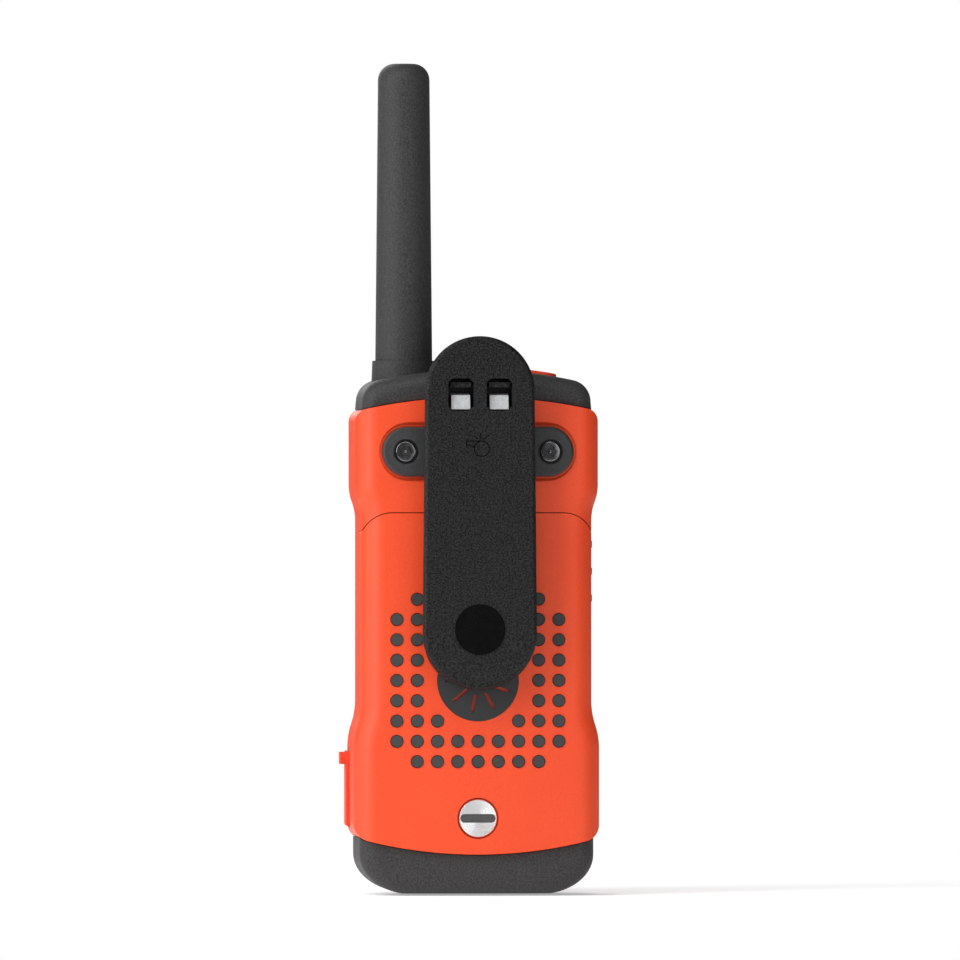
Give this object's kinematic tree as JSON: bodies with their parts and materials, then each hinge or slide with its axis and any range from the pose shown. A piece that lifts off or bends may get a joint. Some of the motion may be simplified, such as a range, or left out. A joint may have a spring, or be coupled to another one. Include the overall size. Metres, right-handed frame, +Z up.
{
  "type": "two-way radio",
  "caption": "Handheld two-way radio with fixed antenna, belt clip with whistle, display, keys, push-to-talk bar and coin-locked battery door.",
  "frame": {"origin": "on the flat base the radio stands on, at half its width, 2 mm in front of the plane where the front and rear mouldings meet", "axes": "+Z up along the antenna, -Y towards the display side, +Y towards the belt clip, +X towards the side that carries the antenna and the charging port"},
  "size_m": [0.0585, 0.0448, 0.1907],
  "materials": {
    "black_clip": "coarse spark texture",
    "black_rubber": "matt",
    "black_steel": "black oxide",
    "board_green": "solder mask",
    "brass": "plated",
    "cell_wrap": "shrink sleeve",
    "clear_window": "polished",
    "coin_metal": "turned",
    "cone_paper": "pressed paper",
    "dark_plastic": "fine grain",
    "dark_soft_touch": "matt",
    "display": "satin",
    "felt": "woven",
    "gloss_black": "polished",
    "light_grey": "satin",
    "magnet": "sintered",
    "orange_rubber": "satin",
    "orange_shell": "fine satin moulding",
    "steel": "drawn",
    "tin_plate": "plated"
  },
  "bodies": {
    "radio": {"antenna_contact": "brass", "antenna_ferrule": "brass", "antenna_sleeve": "dark_soft_touch", "antenna_whip": "steel", "battery_cell_left": "cell_wrap", "battery_cell_middle": "cell_wrap", "battery_cell_right": "cell_wrap", "bracket_screws": "black_steel", "case_gasket": "black_rubber", "case_screws": "black_steel", "charging_socket": "steel", "chassis": "dark_plastic", "clip_bracket": "dark_plastic", "clip_pin": "steel", "clip_spring": "steel", "contact_plates": "steel", "contact_springs": "steel", "fascia": "dark_plastic", "front_boot": "dark_soft_touch", "front_housing": "orange_shell", "key_domes": "steel", "lcd_module": "display", "lcd_window": "clear_window", "main_board": "board_green", "microphone": "tin_plate", "ptt_switch": "dark_plastic", "rear_housing": "orange_shell", "shield_can": "tin_plate", "speaker_cone": "cone_paper", "speaker_felt": "felt", "speaker_frame": "tin_plate", "speaker_magnet": "magnet", "top_cap": "dark_soft_touch", "top_switch": "dark_plastic"},
    "belt_clip": {"belt_clip": "black_clip", "whistle_ramps": "light_grey", "clip_disc": "gloss_black"},
    "battery_door": {"battery_door": "orange_shell", "door_toe": "dark_soft_touch", "grip_mat": "dark_soft_touch", "door_medallion": "dark_soft_touch", "cell_pad": "black_rubber"},
    "coin_lock": {"coin_lock": "coin_metal", "lock_cam": "steel"},
    "port_cover": {"port_cover": "orange_rubber"},
    "ptt_button": {"ptt_button": "dark_soft_touch"},
    "top_button": {"top_button": "orange_rubber"},
    "key_menu": {"key_menu": "black_rubber"},
    "key_up": {"key_up": "black_rubber"},
    "key_down": {"key_down": "black_rubber"},
    "key_call": {"key_call": "black_rubber"},
    "key_lock": {"key_lock": "black_rubber"}
  },
  "joints": [
    {"name": "clip_hinge", "type": "hinge", "parent": "radio", "child": "belt_clip", "pos_m": [0, 0.0201, 0.1015], "axis": [1, 0, 0], "range_deg": [0, 7], "stiffness_Nm_per_rad": 0.25, "springref_deg": -20.05, "deforming": ["clip_spring"]},
    {"name": "door_slide", "type": "slide", "parent": "radio", "child": "battery_door", "axis": [0, 0, -1], "range_m": [0, 0.085]},
    {"name": "lock_turn", "type": "hinge", "parent": "battery_door", "child": "coin_lock", "pos_m": [0, 0.017, 0.0175], "axis": [0, 1, 0], "range_deg": [0, 90]},
    {"name": "port_cover_hinge", "type": "hinge", "parent": "radio", "child": "port_cover", "pos_m": [0.02838, -0.0082, 0.01593], "axis": [0, 1, 0], "range_deg": [0, 100]},
    {"name": "ptt_press", "type": "slide", "parent": "radio", "child": "ptt_button", "axis": [1, 0, 0], "range_m": [0, 0.0009], "stiffness_N_per_m": 900, "springref_m": -0.0006},
    {"name": "top_press", "type": "slide", "parent": "radio", "child": "top_button", "axis": [0, 0, -1], "range_m": [0, 0.0008], "stiffness_N_per_m": 900, "springref_m": -0.0006},
    {"name": "key_menu_press", "type": "slide", "parent": "radio", "child": "key_menu", "axis": [0, 1, 0], "range_m": [0, 0.0006], "stiffness_N_per_m": 900, "springref_m": -0.0005},
    {"name": "key_up_press", "type": "slide", "parent": "radio", "child": "key_up", "axis": [0, 1, 0], "range_m": [0, 0.0006], "stiffness_N_per_m": 900, "springref_m": -0.0005},
    {"name": "key_down_press", "type": "slide", "parent": "radio", "child": "key_down", "axis": [0, 1, 0], "range_m": [0, 0.0006], "stiffness_N_per_m": 900, "springref_m": -0.0005},
    {"name": "key_call_press", "type": "slide", "parent": "radio", "child": "key_call", "axis": [0, 1, 0], "range_m": [0, 0.0006], "stiffness_N_per_m": 900, "springref_m": -0.0005},
    {"name": "key_lock_press", "type": "slide", "parent": "radio", "child": "key_lock", "axis": [0, 1, 0], "range_m": [0, 0.0006], "stiffness_N_per_m": 900, "springref_m": -0.0005}
  ]
}
